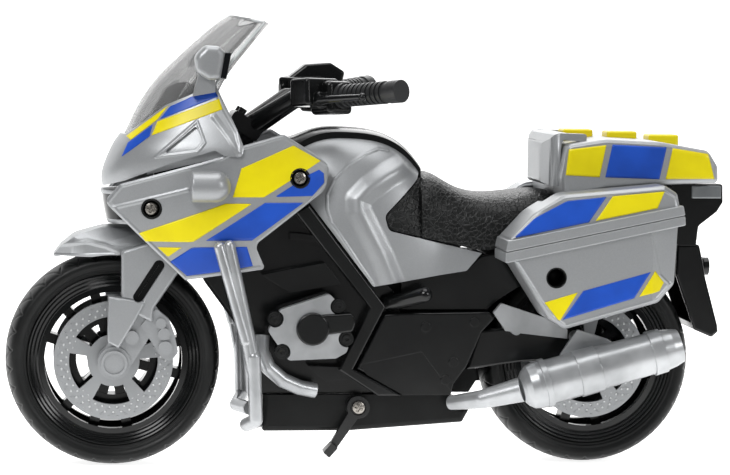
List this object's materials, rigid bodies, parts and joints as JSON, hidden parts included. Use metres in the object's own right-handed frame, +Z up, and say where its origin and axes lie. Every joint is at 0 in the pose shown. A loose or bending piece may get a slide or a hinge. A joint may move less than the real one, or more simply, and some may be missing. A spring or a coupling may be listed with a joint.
{
  "type": "toy motorcycle",
  "caption": "Toy police touring motorcycle in moulded plastic: friction-drive rear wheel, steering fork, folding side stand, side cases and a top box with push buttons.",
  "frame": {"origin": "on the ground under the middle of the overall length and width", "axes": "+X towards the tail, +Y towards the bike's right side, +Z up; the front wheel is at -X"},
  "size_m": [0.2789, 0.1094, 0.1745],
  "materials": {
    "silver_plastic": "satin silver paint",
    "bright_silver": "metallised",
    "black_plastic": "gloss",
    "grey_plastic": "satin",
    "tyre_plastic": "matte",
    "soft_black": "leather grain",
    "grip_plastic": "matte",
    "clear_plastic": "clear",
    "dark_lens": "gloss",
    "grey_lens": "gloss",
    "yellow_plastic": "gloss",
    "mirror_foil": "gloss",
    "steel": "brushed",
    "cell_steel": "brushed",
    "gear_plastic": "matte",
    "board": "matte",
    "flywheel_steel": "brushed",
    "sticker_yellow": "printed film",
    "sticker_blue": "printed film"
  },
  "bodies": {
    "chassis": {"chassis_right": "black_plastic", "chassis_left": "black_plastic", "side_frame_right": "black_plastic", "side_frame_left": "black_plastic", "gear_case_cover": "black_plastic", "belly_pan": "black_plastic", "battery_cover": "black_plastic", "button_cells": "cell_steel", "speaker": "cell_steel", "cylinders": "black_plastic", "head_covers": "bright_silver", "header_pipes": "bright_silver", "muffler": "bright_silver", "side_fairing_right": "silver_plastic", "side_fairing_left": "silver_plastic", "turn_signals": "silver_plastic", "nose_cowl": "silver_plastic", "windscreen": "clear_plastic", "headlight_lens": "dark_lens", "headlight_surround": "silver_plastic", "dashboard": "black_plastic", "mirror_housings": "silver_plastic", "mirror_glasses": "mirror_foil", "tank_cover_right": "silver_plastic", "tank_cover_left": "silver_plastic", "tank_top": "black_plastic", "seat": "soft_black", "tail_frame": "black_plastic", "topbox": "silver_plastic", "topbox_tray": "black_plastic", "backrest": "silver_plastic", "switch_board": "board", "pannier_tubs": "silver_plastic", "pannier_lids": "silver_plastic", "pannier_brackets": "bright_silver", "mud_flap": "black_plastic", "tail_lamp": "grey_lens", "crash_bars": "bright_silver", "body_screws": "steel"},
    "fork": {"fork_legs": "bright_silver", "fork_bridge": "black_plastic", "front_mudguard": "silver_plastic", "handlebar": "black_plastic", "grips": "grip_plastic"},
    "front_wheel": {"front_tyre": "tyre_plastic", "front_rim": "black_plastic", "front_discs": "bright_silver", "front_axle": "steel"},
    "rear_wheel": {"rear_tyre": "tyre_plastic", "rear_rim": "black_plastic", "rear_discs": "bright_silver", "rear_axle": "steel", "rear_gear": "gear_plastic"},
    "idler": {"idler_gear": "gear_plastic"},
    "reduction": {"reduction_gear": "gear_plastic"},
    "flywheel_body": {"flywheel": "flywheel_steel"},
    "stand": {"side_stand": "black_plastic"},
    "front_button": {"button_1": "yellow_plastic"},
    "middle_button": {"button_2": "yellow_plastic"},
    "rear_button": {"button_3": "yellow_plastic"}
  },
  "joints": [
    {"name": "steering", "type": "hinge", "parent": "chassis", "child": "fork", "pos_m": [-0.0849, 0, 0.0731], "axis": [0.5373, 0, 0.8434], "range_deg": [-12, 12]},
    {"name": "front_wheel_spin", "type": "hinge", "parent": "fork", "child": "front_wheel", "pos_m": [-0.098, 0, 0.0415], "axis": [0, 1, 0], "continuous": true},
    {"name": "rear_wheel_spin", "type": "hinge", "parent": "chassis", "child": "rear_wheel", "pos_m": [0.0876, 0, 0.0415], "axis": [0, 1, 0], "continuous": true},
    {"name": "idler_spin", "type": "hinge", "parent": "chassis", "child": "idler", "pos_m": [0.06334, 0.02, 0.04491], "axis": [0, 1, 0], "continuous": true},
    {"name": "reduction_spin", "type": "hinge", "parent": "chassis", "child": "reduction", "pos_m": [0.04759, 0.02, 0.04826], "axis": [0, 1, 0], "continuous": true},
    {"name": "flywheel_spin", "type": "hinge", "parent": "chassis", "child": "flywheel_body", "pos_m": [0.03079, 0, 0.04826], "axis": [0, 1, 0], "continuous": true},
    {"name": "stand_fold", "type": "hinge", "parent": "chassis", "child": "stand", "pos_m": [-0.0044, -0.0245, 0.0246], "axis": [0, 1, 0], "range_deg": [-118, 0]},
    {"name": "front_button_press", "type": "slide", "parent": "chassis", "child": "front_button", "axis": [0, 0, -1], "range_m": [0, 0.0012], "stiffness_N_per_m": 400},
    {"name": "middle_button_press", "type": "slide", "parent": "chassis", "child": "middle_button", "axis": [0, 0, -1], "range_m": [0, 0.0012], "stiffness_N_per_m": 400},
    {"name": "rear_button_press", "type": "slide", "parent": "chassis", "child": "rear_button", "axis": [0, 0, -1], "range_m": [0, 0.0012], "stiffness_N_per_m": 400}
  ],
  "couplings": [
    {"joint": "idler_spin", "follows": "rear_wheel_spin", "ratio": -1.0588},
    {"joint": "reduction_spin", "follows": "rear_wheel_spin", "ratio": 3},
    {"joint": "flywheel_spin", "follows": "rear_wheel_spin", "ratio": -11.4}
  ]
}
